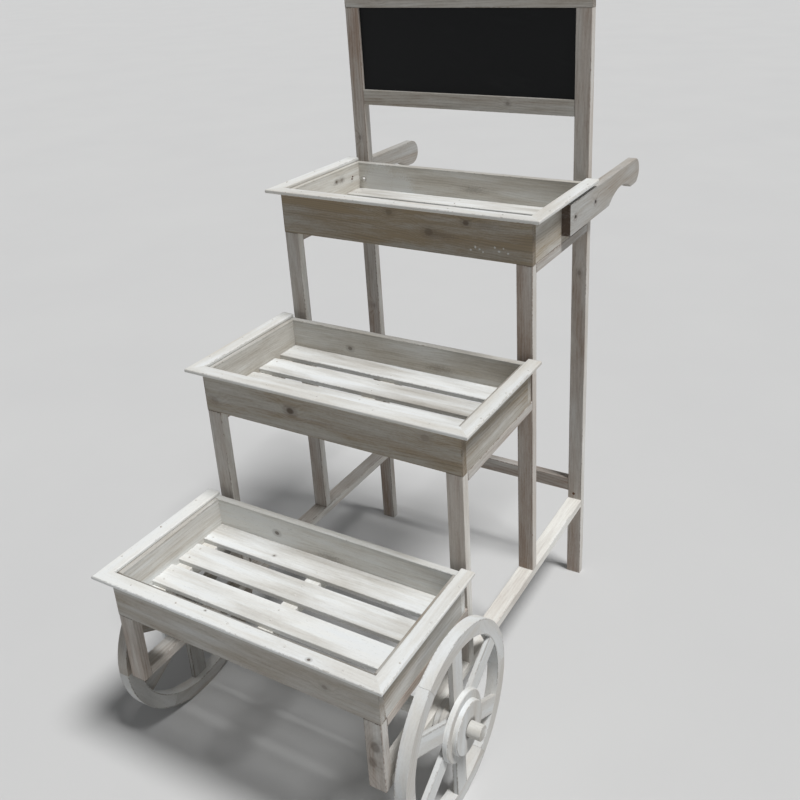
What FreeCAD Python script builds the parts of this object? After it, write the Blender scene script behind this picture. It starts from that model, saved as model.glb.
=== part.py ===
"""Three-tier flower cart stand: trays on a batten frame, two spoked wheels and a chalkboard.

The stand faces -Y and +Z is up. It rests on the ground at Z = 0, and the origin lies on the
ground below the middle of its outline. Lengths are in millimetres.
"""
import FreeCAD, Part
import math
import os

import Sketcher

OUT_FOLDER = "parts"

# Driving dimensions: each is set here once and nowhere else.
SIZES = {
    # batten frame
    "frame_width": 600,
    "batten_wide": 35,
    "batten_thick": 20,
    "arris": 1,
    # trays
    "tray_depth": 303,
    "tray_gap": 10,
    "tray_rise": 295,
    "lower_tray_top": 460,
    "board_thick": 15,
    "board_high": 93,
    "rim_thick": 8,
    "rim_wide": 30,
    "rim_overhang": 24,
    "rim_round": 2.5,
    "slat_thick": 10,
    "slat_wide": 58,
    "slat_gap": 17.5,
    "slat_count": 4,
    # back frame and chalkboard
    "stretcher_top": 280,
    "stretcher_high": 35,
    "sign_bottom": 1180,
    "sign_rail_high": 35,
    "chalk_high": 185,
    "chalk_thick": 6,
    "chalk_recess": 6,
    "groove_deep": 5,
    # push handles and their screws
    "handle_thick": 20,
    "handle_high": 67,
    "handle_drop": 8,
    "handle_lap": 155,
    "handle_reach": 279,
    "scallop_offset": 63,
    "scallop_long": 164,
    "scallop_deep": 26,
    "nose_lift": 6,
    "screw_inset": 28,
    "screw_sink": 7,
    "screw_well_radius": 5.5,
    "screw_long": 24,
    "screw_head_radius": 4,
    "screw_head_high": 3,
    "screw_shank_radius": 2,
    # wheels and axle
    "wheel_radius": 195,
    "wheel_thick": 24,
    "wheel_gap": 15,
    "axle_setback": 195,
    "felloe_wide": 29.5,
    "felloe_joint": 0.4,
    "spoke_count": 6,
    "spoke_wide": 36,
    "spoke_thick": 10,
    "hub_core_radius": 44,
    "hub_disc_radius": 68.5,
    "hub_disc_thick": 10.5,
    "hub_cap_radius": 52,
    "hub_cap_thick": 10.5,
    "hub_boss_radius": 38,
    "hub_play": 2,
    "hub_ease": 2,
    "axle_radius": 15,
    "axle_let_in": 5,
    "axle_running_fit": 0.05,
    "axle_out": 27,
    "saddle_long": 60,
    "saddle_high": 35,
}

# Places worked out from the driving dimensions. Y counts from the lower tray's front face.
LAYOUT = {
    "half_width": "sizes.frame_width / 2",
    "half_inside": "half_width - sizes.batten_wide",
    "tray_pitch": "sizes.tray_depth + sizes.tray_gap",
    "upright_front": "3 * sizes.tray_depth + 2 * sizes.tray_gap",
    "upright_back": "upright_front + sizes.batten_thick",
    "front_end": "-sizes.rim_overhang",
    "back_end": "upright_back + sizes.handle_reach",
    "middle": "(front_end + back_end) / 2",
    "axle_drop": "sizes.axle_radius - sizes.axle_let_in",
    "runner_bottom": "sizes.wheel_radius + axle_drop",
    "runner_top": "runner_bottom + sizes.batten_thick",
    "board_inside": "half_width - sizes.board_thick",
    "side_board_long": "sizes.tray_depth - 2 * sizes.board_thick",
    "rim_outer": "half_width + sizes.rim_overhang",
    "rim_inner": "rim_outer - sizes.rim_wide",
    "slat_pitch": "sizes.slat_wide + sizes.slat_gap",
    "front_slat_wide": "side_board_long - (sizes.slat_count - 1) * slat_pitch",
    "batten_run": "2 * board_inside - sizes.batten_wide",
    "chalk_bottom": "sizes.sign_bottom + sizes.sign_rail_high",
    "upright_top": "chalk_bottom + sizes.chalk_high",
    "upper_rim_bottom": "sizes.lower_tray_top + 2 * sizes.tray_rise - sizes.rim_thick",
    "upper_board_bottom": "upper_rim_bottom - sizes.board_high",
    "handle_long": "sizes.handle_lap + sizes.batten_thick + sizes.handle_reach",
    "handle_bottom": "upper_rim_bottom - sizes.handle_drop - sizes.handle_high",
    "handle_front": "upright_front - sizes.handle_lap",
    "nose_radius": "(sizes.handle_high - sizes.nose_lift) / 2",
    "scallop_start": "sizes.handle_lap + sizes.batten_thick + sizes.scallop_offset",
    "scallop_middle": "scallop_start + sizes.scallop_long / 2",
    "scallop_radius": "sizes.scallop_long ^ 2 / 8 / sizes.scallop_deep + sizes.scallop_deep / 2",
    "scallop_centre": "sizes.scallop_deep - scallop_radius",
    "scallop_end": "scallop_middle + sqrt(scallop_radius ^ 2 - (sizes.nose_lift - scallop_centre) ^ 2)",
    "screw_height": "handle_bottom + sizes.handle_high / 2",
    "screw_pitch": "sizes.handle_lap - sizes.screw_inset - sizes.board_thick / 2",
    "screw_bore": "sizes.screw_long + sizes.screw_sink",
    "screw_in_board": "screw_bore - sizes.handle_thick",
    "wheel_inner_face": "half_width + sizes.wheel_gap",
    "wheel_outer_face": "wheel_inner_face + sizes.wheel_thick",
    "hub_face": "wheel_outer_face + sizes.hub_disc_thick + sizes.hub_cap_thick",
    "axle_long": "2 * (hub_face + sizes.axle_out)",
    "hub_bore_radius": "sizes.axle_radius + sizes.axle_running_fit",
    "hub_boss_long": "sizes.wheel_gap - sizes.hub_play",
    "felloe_inner": "sizes.wheel_radius - sizes.felloe_wide",
    "felloe_half_angle": "180 deg / sizes.spoke_count",
}

TRAYS = ("lower", "middle", "upper")
SIDES = {"left": -1, "right": 1}


def fill_sheet(name, cells):
    """Write one row per entry: the word in column A and its value, under that alias, in B."""
    sheet = document.addObject("Spreadsheet::Sheet", name)
    for row, (alias, content) in enumerate(cells.items(), start=1):
        sheet.set(f"A{row}", alias)
        sheet.set(f"B{row}", str(content))
        sheet.setAlias(f"B{row}", alias)
    return sheet


document = FreeCAD.newDocument("flower_cart_stand")
sizes = fill_sheet("sizes", SIZES)
layout = fill_sheet("layout", {word: f"={formula}" for word, formula in LAYOUT.items()})
document.recompute()
bodies = []


def value_of(formula):
    """Work out a formula of sheet words as a plain number."""
    return float(layout.evalExpression(str(formula)))


def new_body(label, x, y, z, turn=None):
    """Start a sub-part with its own origin at a point given by formulas."""
    body = document.addObject("PartDesign::Body", label)
    body.Label = label
    body.AllowCompound = True
    if turn is not None:
        body.Placement.Rotation = turn
    body.setExpression("Placement.Base.x", str(x))
    body.setExpression("Placement.Base.y", f"{y} - layout.middle")
    body.setExpression("Placement.Base.z", str(z))
    bodies.append(body)
    return body


def new_feature(body, kind, name, **formulas):
    """Add a feature whose sizes are bound to formulas."""
    feature = body.newObject(f"PartDesign::{kind}", f"{body.Name}_{name}")
    for path, formula in formulas.items():
        feature.setExpression(path, str(formula))
    return feature


def origin_item(body, role):
    """One of the body's own origin planes or axes."""
    return next(item for item in body.Origin.OriginFeatures if item.Role == role)


def new_sketch(body, plane, name, height="0"):
    """Lay an empty sketch parallel to an origin plane, at a height along the plane's normal."""
    sketch = body.newObject("Sketcher::SketchObject", f"{body.Name}_{name}")
    sketch.AttachmentSupport = [(origin_item(body, plane), "")]
    sketch.MapMode = "FlatFace"
    sketch.setExpression("AttachmentOffset.Base.z", str(height))
    return sketch


def pin(sketch, geometry, point, x=None, y=None):
    """Hold a point of the sketch at distances from its origin."""
    for kind, formula in (("DistanceX", x), ("DistanceY", y)):
        if formula is not None:
            rule = Sketcher.Constraint(kind, -1, 1, geometry, point, value_of(formula))
            number = sketch.addConstraint(rule)
            sketch.setExpression(f"Constraints[{number}]", str(formula))


def arc_about(centre, start, end):
    """The anticlockwise arc from one point to another about a centre."""
    circle = Part.Circle(centre, FreeCAD.Vector(0, 0, 1), (start - centre).Length)
    first = math.atan2(start.y - centre.y, start.x - centre.x)
    last = math.atan2(end.y - centre.y, end.x - centre.x)
    return Part.ArcOfCircle(circle, first, last if last > first else last + 2 * math.pi)


def draw_outline(sketch, corners, arcs=None):
    """Draw a closed outline through corners in order, each a pair of formulas.

    The edge that leaves a corner is straight unless arcs names that corner's number, with the
    arc's centre as a pair of formulas and True where the arc bulges out of the outline.
    """
    arcs = arcs or {}
    points = [FreeCAD.Vector(value_of(x), value_of(y), 0) for x, y in corners]
    joined = []
    for number, start in enumerate(points):
        end = points[(number + 1) % len(points)]
        if number not in arcs:
            sketch.addGeometry(Part.LineSegment(start, end))
            joined.append((1, 2))
            continue
        (x, y), bulges_out = arcs[number]
        centre = FreeCAD.Vector(value_of(x), value_of(y), 0)
        ends = (start, end) if bulges_out else (end, start)
        sketch.addGeometry(arc_about(centre, *ends))
        joined.append((1, 2) if bulges_out else (2, 1))
    for number, (x, y) in enumerate(corners):
        before = (number - 1) % len(corners)
        rule = Sketcher.Constraint("Coincident", before, joined[before][1], number, joined[number][0])
        sketch.addConstraint(rule)
        pin(sketch, number, joined[number][0], x, y)
    for number, ((x, y), _) in arcs.items():
        chord = points[(number + 1) % len(points)] - points[number]
        if abs(chord.x) < abs(chord.y):
            pin(sketch, number, 3, x=x)
        else:
            pin(sketch, number, 3, y=y)


def eased_corners(wide, high, ease):
    """The corners of a rectangle with its four corners cut off."""
    return [
        (ease, "0"),
        (f"{wide} - {ease}", "0"),
        (wide, ease),
        (wide, f"{high} - {ease}"),
        (f"{wide} - {ease}", high),
        (ease, high),
        ("0", f"{high} - {ease}"),
        ("0", ease),
    ]


def pad(body, sketch, length, name="pad"):
    """Raise a sketch towards the positive side of its plane's axis."""
    feature = new_feature(body, "Pad", name, Length=length)
    feature.Profile = sketch
    feature.Reversed = sketch.AttachmentSupport[0][0].Role == "XZ_Plane"
    return feature


def pocket(body, sketch, length, name="pocket"):
    """Sink a sketch towards the positive side of its plane's axis, and make sure that it cuts."""
    document.recompute()
    before = body.Shape.Volume
    feature = new_feature(body, "Pocket", name, Length=length)
    feature.Profile = sketch
    feature.Reversed = sketch.AttachmentSupport[0][0].Role != "XZ_Plane"
    document.recompute()
    if body.Shape.Volume >= before:
        raise RuntimeError(f"{feature.Name} cuts nothing")
    return feature


def bar(body, along, spans, name="bar", shift="0"):
    """Pad the eased section of a straight piece of wood along its grain."""
    plane, section = {"x": ("YZ_Plane", (1, 2)), "y": ("XZ_Plane", (0, 2)), "z": ("XY_Plane", (0, 1))}[along]
    sketch = new_sketch(body, plane, f"{name}_section")
    wide, high = (spans[axis] for axis in section)
    corners = eased_corners(wide, high, "sizes.arris")
    if shift != "0":
        corners = [(f"{x} + {shift}", y) for x, y in corners]
    draw_outline(sketch, corners)
    return pad(body, sketch, spans["xyz".index(along)], name)


def plank(label, along, spans, corner):
    """A straight piece of wood with its least corner at a point."""
    body = new_body(label, *corner)
    bar(body, along, spans)
    return body


def both_sides(wide):
    """Give each side's name and the least X of a piece of that width flush with the frame's side."""
    return (("left", "-layout.half_width"), ("right", f"layout.half_width - {wide}"))


def tray_front(number):
    """Y of a tray's front face."""
    return f"{number} * layout.tray_pitch"


def tray_bottom(number):
    """Z of the underside of a tray's boards."""
    return f"sizes.lower_tray_top + {number} * sizes.tray_rise - sizes.rim_thick - sizes.board_high"


def repeat_along(body, feature, axis, run, count):
    """Repeat a feature evenly along one of the body's axes."""
    pattern = new_feature(body, "LinearPattern", "row", Length=run, Occurrences=count)
    pattern.Originals = [feature]
    pattern.Direction = (origin_item(body, axis), [""])
    body.Tip = pattern
    return pattern


def make_front_legs():
    """The three pairs of legs under the trays' front boards."""
    for number, name in enumerate(("front", "middle", "tall")):
        foot = "layout.runner_top" if number else "layout.runner_bottom"
        height = f"{tray_bottom(number)} - {foot}"
        for side, x in both_sides("sizes.batten_wide"):
            spans = ("sizes.batten_wide", "sizes.batten_thick", height)
            plank(f"leg_{name}_{side}", "z", spans, (x, tray_front(number), foot))


def make_uprights():
    """The rear legs, which run on upwards as the posts of the chalkboard."""
    for side, x in both_sides("sizes.batten_wide"):
        spans = ("sizes.batten_wide", "sizes.batten_thick", "layout.upright_top")
        body = plank(f"upright_{side}", "z", spans, (x, "layout.upright_front", "0"))
        inner = "sizes.batten_wide - sizes.groove_deep" if side == "left" else "0"
        groove = new_sketch(body, "YZ_Plane", "groove_outline", inner)
        foot = "layout.chalk_bottom - sizes.groove_deep"
        back = "sizes.chalk_recess + sizes.chalk_thick"
        draw_outline(groove, [
            ("sizes.chalk_recess", foot),
            (back, foot),
            (back, "layout.upright_top"),
            ("sizes.chalk_recess", "layout.upright_top"),
        ])
        pocket(body, groove, "sizes.groove_deep", "groove")


def make_runners_and_rails():
    """The long members that join the legs on each side, the runners hollowed for the axle."""
    for side, x in both_sides("sizes.batten_wide"):
        behind_leg = "layout.upright_front - sizes.batten_thick"
        spans = ("sizes.batten_wide", behind_leg, "sizes.batten_thick")
        body = plank(f"runner_{side}", "y", spans, (x, "sizes.batten_thick", "layout.runner_bottom"))
        axle_line = [("sizes.axle_setback - sizes.batten_thick", "-layout.axle_drop")]
        drill(body, "axle_housing", axle_line, "sizes.axle_radius", "0", "sizes.batten_wide")
        for number, tray in enumerate(TRAYS):
            start = f"{tray_front(number)} + sizes.batten_thick"
            stop = tray_front(number + 1) if number < 2 else "layout.upright_front"
            spans = ("sizes.batten_wide", f"{stop} - ({start})", "sizes.batten_thick")
            top = f"{tray_bottom(number)} - sizes.batten_thick"
            plank(f"{tray}_rail_{side}", "y", spans, (x, start, top))


def make_rear_stretcher():
    """The cross member low between the uprights."""
    spans = ("2 * layout.half_inside", "sizes.batten_thick", "sizes.stretcher_high")
    bottom = "sizes.stretcher_top - sizes.stretcher_high"
    plank("rear_stretcher", "x", spans, ("-layout.half_inside", "layout.upright_front", bottom))


def make_tray(number, tray):
    """One open box: four boards, a mitred rim on three sides, and slats on battens."""
    front, bottom = tray_front(number), tray_bottom(number)
    across = ("sizes.frame_width", "sizes.board_thick", "sizes.board_high")
    plank(f"{tray}_front_board", "x", across, ("-layout.half_width", front, bottom))
    back = f"{front} + sizes.tray_depth - sizes.board_thick"
    body = plank(f"{tray}_back_board", "x", across, ("-layout.half_width", back, bottom))
    if tray == "upper":
        drill_back_board(body)
    inside = f"{front} + sizes.board_thick"
    for side, x in both_sides("sizes.board_thick"):
        spans = ("sizes.board_thick", "layout.side_board_long", "sizes.board_high")
        body = plank(f"{tray}_side_board_{side}", "y", spans, (x, inside, bottom))
        if tray == "upper":
            drill_side_board(body, side)
    make_tray_floor(tray, inside, bottom)
    make_rim(tray, front, f"{bottom} + sizes.board_high")


def make_tray_floor(tray, inside, bottom):
    """Three battens from front to back and the slats that lie across them."""
    body = new_body(f"{tray}_battens", "-layout.board_inside", inside, bottom)
    spans = ("sizes.batten_wide", "layout.side_board_long", "sizes.batten_thick")
    repeat_along(body, bar(body, "y", spans), "X_Axis", "layout.batten_run", 3)

    top = f"{bottom} + sizes.batten_thick"
    body = new_body(f"{tray}_slats", "-layout.board_inside", inside, top)
    spans = ("2 * layout.board_inside", "sizes.slat_wide", "sizes.slat_thick")
    slat = bar(body, "x", spans, "slat", "layout.front_slat_wide + sizes.slat_gap")
    run = "(sizes.slat_count - 2) * layout.slat_pitch"
    repeat_along(body, slat, "Y_Axis", run, "sizes.slat_count - 1")
    spans = ("2 * layout.board_inside", "layout.front_slat_wide", "sizes.slat_thick")
    body.Tip = bar(body, "x", spans, "front_slat")


def make_rim(tray, front, bottom):
    """Flat strips on the boards' top edges, mitred at the front corners, none at the back."""
    outer, inner = "layout.rim_outer", "layout.rim_inner"
    front_edge, behind = "-sizes.rim_overhang", "sizes.rim_wide - sizes.rim_overhang"
    outlines = {
        "front": [(f"-{outer}", front_edge), (outer, front_edge), (inner, behind), (f"-{inner}", behind)],
        "right": [
            (outer, front_edge),
            (outer, "sizes.tray_depth"),
            (inner, "sizes.tray_depth"),
            (inner, behind),
        ],
        "left": [
            (f"-{inner}", behind),
            (f"-{inner}", "sizes.tray_depth"),
            (f"-{outer}", "sizes.tray_depth"),
            (f"-{outer}", front_edge),
        ],
    }
    for place, corners in outlines.items():
        body = new_body(f"{tray}_rim_{place}", "0", front, bottom)
        sketch = new_sketch(body, "XY_Plane", "outline")
        draw_outline(sketch, corners)
        strip = pad(body, sketch, "sizes.rim_thick")
        document.recompute()
        long_edges = {"front": is_front_edge}.get(place, is_side_edge)
        rounding = new_feature(body, "Fillet", "round", Radius="sizes.rim_round")
        rounding.Base = (strip, edge_names(strip.Shape, long_edges))


def edge_names(shape, wanted):
    """Names of the edges that a test picks."""
    return [f"Edge{number}" for number, edge in enumerate(shape.Edges, start=1) if wanted(edge)]


def is_front_edge(edge):
    """Whether an edge runs across the stand."""
    return abs(edge.tangentAt(edge.FirstParameter).x) > 0.999


def is_side_edge(edge):
    """Whether an edge runs from front to back."""
    return abs(edge.tangentAt(edge.FirstParameter).y) > 0.999


def is_outline_edge(edge):
    """Whether an edge lies in one of a handle's two flat faces."""
    return abs(edge.tangentAt(edge.FirstParameter).x) < 0.001


def make_chalkboard():
    """A dark panel held in grooves of the uprights and of a rail below and above it."""
    back = "sizes.chalk_recess + sizes.chalk_thick"
    inside = "2 * layout.half_inside"
    spans = (inside, "sizes.batten_thick", "sizes.sign_rail_high")
    corner = ("-layout.half_inside", "layout.upright_front", "sizes.sign_bottom")
    body = plank("chalkboard_bottom_rail", "x", spans, corner)
    groove = new_sketch(body, "XY_Plane", "groove_outline", "sizes.sign_rail_high - sizes.groove_deep")
    draw_outline(groove, [
        ("0", "sizes.chalk_recess"), (inside, "sizes.chalk_recess"), (inside, back), ("0", back)])
    pocket(body, groove, "sizes.groove_deep", "groove")

    spans = ("sizes.frame_width", "sizes.batten_thick", "sizes.sign_rail_high")
    corner = ("-layout.half_width", "layout.upright_front", "layout.upright_top")
    body = plank("chalkboard_top_rail", "x", spans, corner)
    groove = new_sketch(body, "XY_Plane", "groove_outline")
    start = "sizes.batten_wide - sizes.groove_deep"
    stop = f"sizes.frame_width - ({start})"
    draw_outline(groove, [
        (start, "sizes.chalk_recess"), (stop, "sizes.chalk_recess"), (stop, back), (start, back)])
    pocket(body, groove, "sizes.groove_deep", "groove")

    left = "-layout.half_inside - sizes.groove_deep"
    corner = (left, "layout.upright_front + sizes.chalk_recess", "layout.chalk_bottom - sizes.groove_deep")
    body = new_body("chalkboard_panel", *corner)
    sketch = new_sketch(body, "XZ_Plane", "outline")
    wide, high = f"{inside} + 2 * sizes.groove_deep", "sizes.chalk_high + 2 * sizes.groove_deep"
    draw_outline(sketch, [("0", "0"), (wide, "0"), (wide, high), ("0", high)])
    pad(body, sketch, "sizes.chalk_thick")


def drill(body, name, points, radius, start, depth):
    """Sink round holes along X from a height above the body's own YZ plane."""
    sketch = new_sketch(body, "YZ_Plane", f"{name}_circles", start)
    for number, (y, z) in enumerate(points):
        centre = FreeCAD.Vector(value_of(y), value_of(z), 0)
        sketch.addGeometry(Part.Circle(centre, FreeCAD.Vector(0, 0, 1), value_of(radius)))
        pin(sketch, number, 3, y, z)
        rule = sketch.addConstraint(Sketcher.Constraint("Radius", number, value_of(radius)))
        sketch.setExpression(f"Constraints[{rule}]", radius)
    pocket(body, sketch, depth, name)


def make_handles():
    """The push handles screwed to the upper tray's sides, and their sunk screws."""
    top, nose = "sizes.handle_high", "layout.handle_long - layout.nose_radius"
    outline = [
        ("0", "0"),
        ("layout.scallop_start", "0"),
        ("layout.scallop_end", "sizes.nose_lift"),
        (nose, "sizes.nose_lift"),
        (nose, top),
        ("0", top),
    ]
    arcs = {
        1: (("layout.scallop_middle", "layout.scallop_centre"), False),
        3: ((nose, "sizes.nose_lift + layout.nose_radius"), True),
    }
    middle = "sizes.handle_high / 2"
    screws = [("sizes.screw_inset", middle), ("sizes.screw_inset + layout.screw_pitch", middle)]
    for side, sign in SIDES.items():
        x = "layout.half_width" if sign > 0 else "-layout.half_width - sizes.handle_thick"
        body = new_body(f"handle_{side}", x, "layout.handle_front", "layout.handle_bottom")
        sketch = new_sketch(body, "YZ_Plane", "outline")
        draw_outline(sketch, outline, arcs)
        board = pad(body, sketch, "sizes.handle_thick")
        document.recompute()
        easing = new_feature(body, "Chamfer", "arris", Size="sizes.arris")
        easing.Base = (board, edge_names(board.Shape, is_outline_edge))
        head = "sizes.screw_sink + sizes.screw_head_high"
        drill(body, "shank_holes", screws, "sizes.screw_shank_radius", "0", "sizes.handle_thick")
        start = f"sizes.handle_thick - ({head})" if sign > 0 else "0"
        drill(body, "wells", screws, "sizes.screw_well_radius", start, head)
        make_handle_screws(side, sign)


def drill_side_board(body, side):
    """Sink the hole of a handle's front screw into the outer face of an upper side board."""
    y = "layout.handle_front - 2 * layout.tray_pitch - sizes.board_thick + sizes.screw_inset"
    z = "layout.screw_height - layout.upper_board_bottom"
    start = "0" if side == "left" else "sizes.board_thick - layout.screw_in_board"
    drill(body, "screw_hole", [(y, z)], "sizes.screw_shank_radius", start, "layout.screw_in_board")


def drill_back_board(body):
    """Sink the holes of the handles' rear screws into both ends of the upper back board."""
    points = [("sizes.board_thick / 2", "layout.screw_height - layout.upper_board_bottom")]
    depth = "layout.screw_in_board"
    for end, start in (("left", "0"), ("right", f"sizes.frame_width - {depth}")):
        drill(body, f"screw_hole_{end}", points, "sizes.screw_shank_radius", start, depth)


def make_handle_screws(side, sign):
    """Two wood screws: a flat head, a plain shank and a point, turned about their own axis."""
    outside = "(layout.half_width + sizes.handle_thick - sizes.screw_sink)"
    turn = FreeCAD.Rotation(FreeCAD.Vector(0, 0, 1), 0 if sign > 0 else 180)
    first = "0" if sign > 0 else "layout.screw_pitch"
    y = f"layout.handle_front + sizes.screw_inset + {first}"
    body = new_body(f"handle_screws_{side}", f"{sign} * {outside}", y, "layout.screw_height", turn)
    sketch = new_sketch(body, "XY_Plane", "profile")
    point = "-sizes.screw_long"
    draw_outline(sketch, [
        (point, "0"),
        ("0", "0"),
        ("0", "sizes.screw_head_radius"),
        ("-sizes.screw_head_high", "sizes.screw_head_radius"),
        ("-sizes.screw_head_high", "sizes.screw_shank_radius"),
        (f"{point} + 2 * sizes.screw_shank_radius", "sizes.screw_shank_radius"),
    ])
    screw = new_feature(body, "Revolution", "turned")
    screw.Profile = sketch
    screw.ReferenceAxis = (sketch, ["H_Axis"])
    repeat_along(body, screw, "Y_Axis", "layout.screw_pitch", 2)


def make_axle():
    """A plain dowel that carries both wheels, held up into the runners by two saddles."""
    body = new_body("axle", "0", "sizes.axle_setback", "sizes.wheel_radius")
    sketch = new_sketch(body, "YZ_Plane", "circle")
    sketch.addGeometry(Part.Circle(FreeCAD.Vector(), FreeCAD.Vector(0, 0, 1), value_of("sizes.axle_radius")))
    sketch.addConstraint(Sketcher.Constraint("Coincident", 0, 3, -1, 1))
    rule = sketch.addConstraint(Sketcher.Constraint("Radius", 0, value_of("sizes.axle_radius")))
    sketch.setExpression(f"Constraints[{rule}]", "sizes.axle_radius")
    dowel = pad(body, sketch, "layout.axle_long")
    dowel.Midplane = True
    document.recompute()
    easing = new_feature(body, "Chamfer", "arris", Size="sizes.arris")
    easing.Base = (dowel, edge_names(dowel.Shape, lambda edge: isinstance(edge.Curve, Part.Circle)))

    middle, top, radius = "sizes.saddle_long / 2", "sizes.saddle_high", "sizes.axle_radius"
    centre = (middle, f"{top} - layout.axle_drop")
    outline = [
        ("0", "0"),
        ("sizes.saddle_long", "0"),
        ("sizes.saddle_long", top),
        (f"{middle} + {radius}", top),
        (f"{middle} + {radius}", centre[1]),
        (f"{middle} - {radius}", centre[1]),
        (f"{middle} - {radius}", top),
        ("0", top),
    ]
    for side, x in both_sides("sizes.batten_wide"):
        y = "sizes.axle_setback - sizes.saddle_long / 2"
        body = new_body(f"axle_saddle_{side}", x, y, "layout.runner_bottom - sizes.saddle_high")
        sketch = new_sketch(body, "YZ_Plane", "outline")
        draw_outline(sketch, outline, {4: (centre, False)})
        pad(body, sketch, "sizes.batten_wide")


def ring_sector(inner, outer, inset, half_angle):
    """Corners of a piece of a ring centred on the sketch's X axis, its ends set back by a distance."""
    corners = []
    for radius, sign in ((inner, -1), (outer, -1), (outer, 1), (inner, 1)):
        angle = f"({half_angle}) - asin({inset} / ({radius}))"
        corners.append((f"{radius} * cos({angle})", f"{sign} * {radius} * sin({angle})"))
    return corners


def straight_spoke(inner, outer, half):
    """Corners of a parallel-sided spoke between two circles, centred on the sketch's X axis."""
    return [
        (f"sqrt({radius} ^ 2 - ({half}) ^ 2)", f"{sign} * {half}")
        for radius, sign in ((inner, -1), (outer, -1), (outer, 1), (inner, 1))
    ]


def repeat_around(body, feature):
    """Repeat a feature once per spoke about the wheel's axis."""
    wheel = new_feature(body, "PolarPattern", "round", Occurrences="sizes.spoke_count")
    wheel.Originals = [feature]
    wheel.Axis = (origin_item(body, "X_Axis"), [""])
    wheel.Angle = 360
    body.Tip = wheel


def make_wheels():
    """Each wheel: six felloes and six spokes round a turned hub, all on the axle's line."""
    origin = ("0", "0")
    arcs = {1: (origin, True), 3: (origin, False)}
    # Half a step of the pattern, so that two felloes meet level with the axle and a spoke stands upright.
    half_step = 180 / SIZES["spoke_count"]
    for side, sign in SIDES.items():
        # The left wheel is the right one turned about Z.
        facing = FreeCAD.Rotation(FreeCAD.Vector(0, 0, 1), 0 if sign > 0 else 180)
        turn = facing * FreeCAD.Rotation(FreeCAD.Vector(1, 0, 0), half_step)
        x = f"{sign} * layout.wheel_inner_face"
        centre = (x, "sizes.axle_setback", "sizes.wheel_radius")

        body = new_body(f"wheel_{side}_felloes", *centre, turn)
        sketch = new_sketch(body, "YZ_Plane", "outline")
        corners = ring_sector(
            "layout.felloe_inner", "sizes.wheel_radius", "sizes.felloe_joint / 2", "layout.felloe_half_angle")
        draw_outline(sketch, corners, arcs)
        repeat_around(body, pad(body, sketch, "sizes.wheel_thick"))

        body = new_body(f"wheel_{side}_spokes", *centre, turn)
        height = "sizes.wheel_thick - sizes.spoke_thick"
        sketch = new_sketch(body, "YZ_Plane", "outline", height)
        corners = straight_spoke("sizes.hub_core_radius", "layout.felloe_inner", "sizes.spoke_wide / 2")
        draw_outline(sketch, corners, arcs)
        repeat_around(body, pad(body, sketch, "sizes.spoke_thick"))

        make_hub(side, centre, facing)


def make_hub(side, centre, facing):
    """A turned hub: a boss towards the frame, a core for the spokes and two stepped discs."""
    body = new_body(f"wheel_{side}_hub", *centre, facing)
    bore, ease = "layout.hub_bore_radius", "sizes.hub_ease"
    disc_foot, disc_top = "sizes.wheel_thick", "sizes.wheel_thick + sizes.hub_disc_thick"
    cap_top = f"{disc_top} + sizes.hub_cap_thick"
    sketch = new_sketch(body, "XY_Plane", "profile")
    draw_outline(sketch, [
        ("-layout.hub_boss_long", bore),
        (cap_top, bore),
        (cap_top, f"sizes.hub_cap_radius - {ease}"),
        (f"{cap_top} - {ease}", "sizes.hub_cap_radius"),
        (disc_top, "sizes.hub_cap_radius"),
        (disc_top, f"sizes.hub_disc_radius - {ease}"),
        (f"{disc_top} - {ease}", "sizes.hub_disc_radius"),
        (disc_foot, "sizes.hub_disc_radius"),
        (disc_foot, "sizes.hub_core_radius"),
        ("0", "sizes.hub_core_radius"),
        ("0", "sizes.hub_boss_radius"),
        ("-layout.hub_boss_long", "sizes.hub_boss_radius"),
    ])
    hub = new_feature(body, "Revolution", "turned")
    hub.Profile = sketch
    hub.ReferenceAxis = (sketch, ["H_Axis"])


def build():
    """Make every sub-part in the order in which the stand is put together."""
    make_front_legs()
    make_uprights()
    make_runners_and_rails()
    make_rear_stretcher()
    for number, tray in enumerate(TRAYS):
        make_tray(number, tray)
    make_chalkboard()
    make_handles()
    make_axle()
    make_wheels()
    document.recompute()


def check_and_export():
    """Stop on any failed object or bad solid, then write one file per sub-part."""
    for item in document.Objects:
        if "Invalid" in item.State or "Error" in item.State:
            raise RuntimeError(f"{item.Name} failed: {item.State}")
    os.makedirs(OUT_FOLDER, exist_ok=True)
    for body in bodies:
        shape = body.Shape
        if shape.isNull() or not shape.isValid() or not shape.Solids:
            raise RuntimeError(f"{body.Label} has no sound solid")
        print(f"{body.Label}: {len(shape.Solids)} solid(s), {shape.Volume / 1000:.1f} cm3")
        shape.exportStep(os.path.join(OUT_FOLDER, f"{body.Label}.step"))


build()
check_and_export()
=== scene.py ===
"""Looks of the flower cart stand: limewashed softwood, a blackboard panel and dull steel.

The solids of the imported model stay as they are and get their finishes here. The handles' screws
are replaced by fuller ones, and nails, a bolt head and screw points are added where they show.
Everything is in metres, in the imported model's frame: the stand faces -Y and +Z is up.
"""

import logging
import math
from collections.abc import Callable
from dataclasses import dataclass, field, replace
from enum import Enum

import bpy
from mathutils import Matrix, Vector


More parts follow.
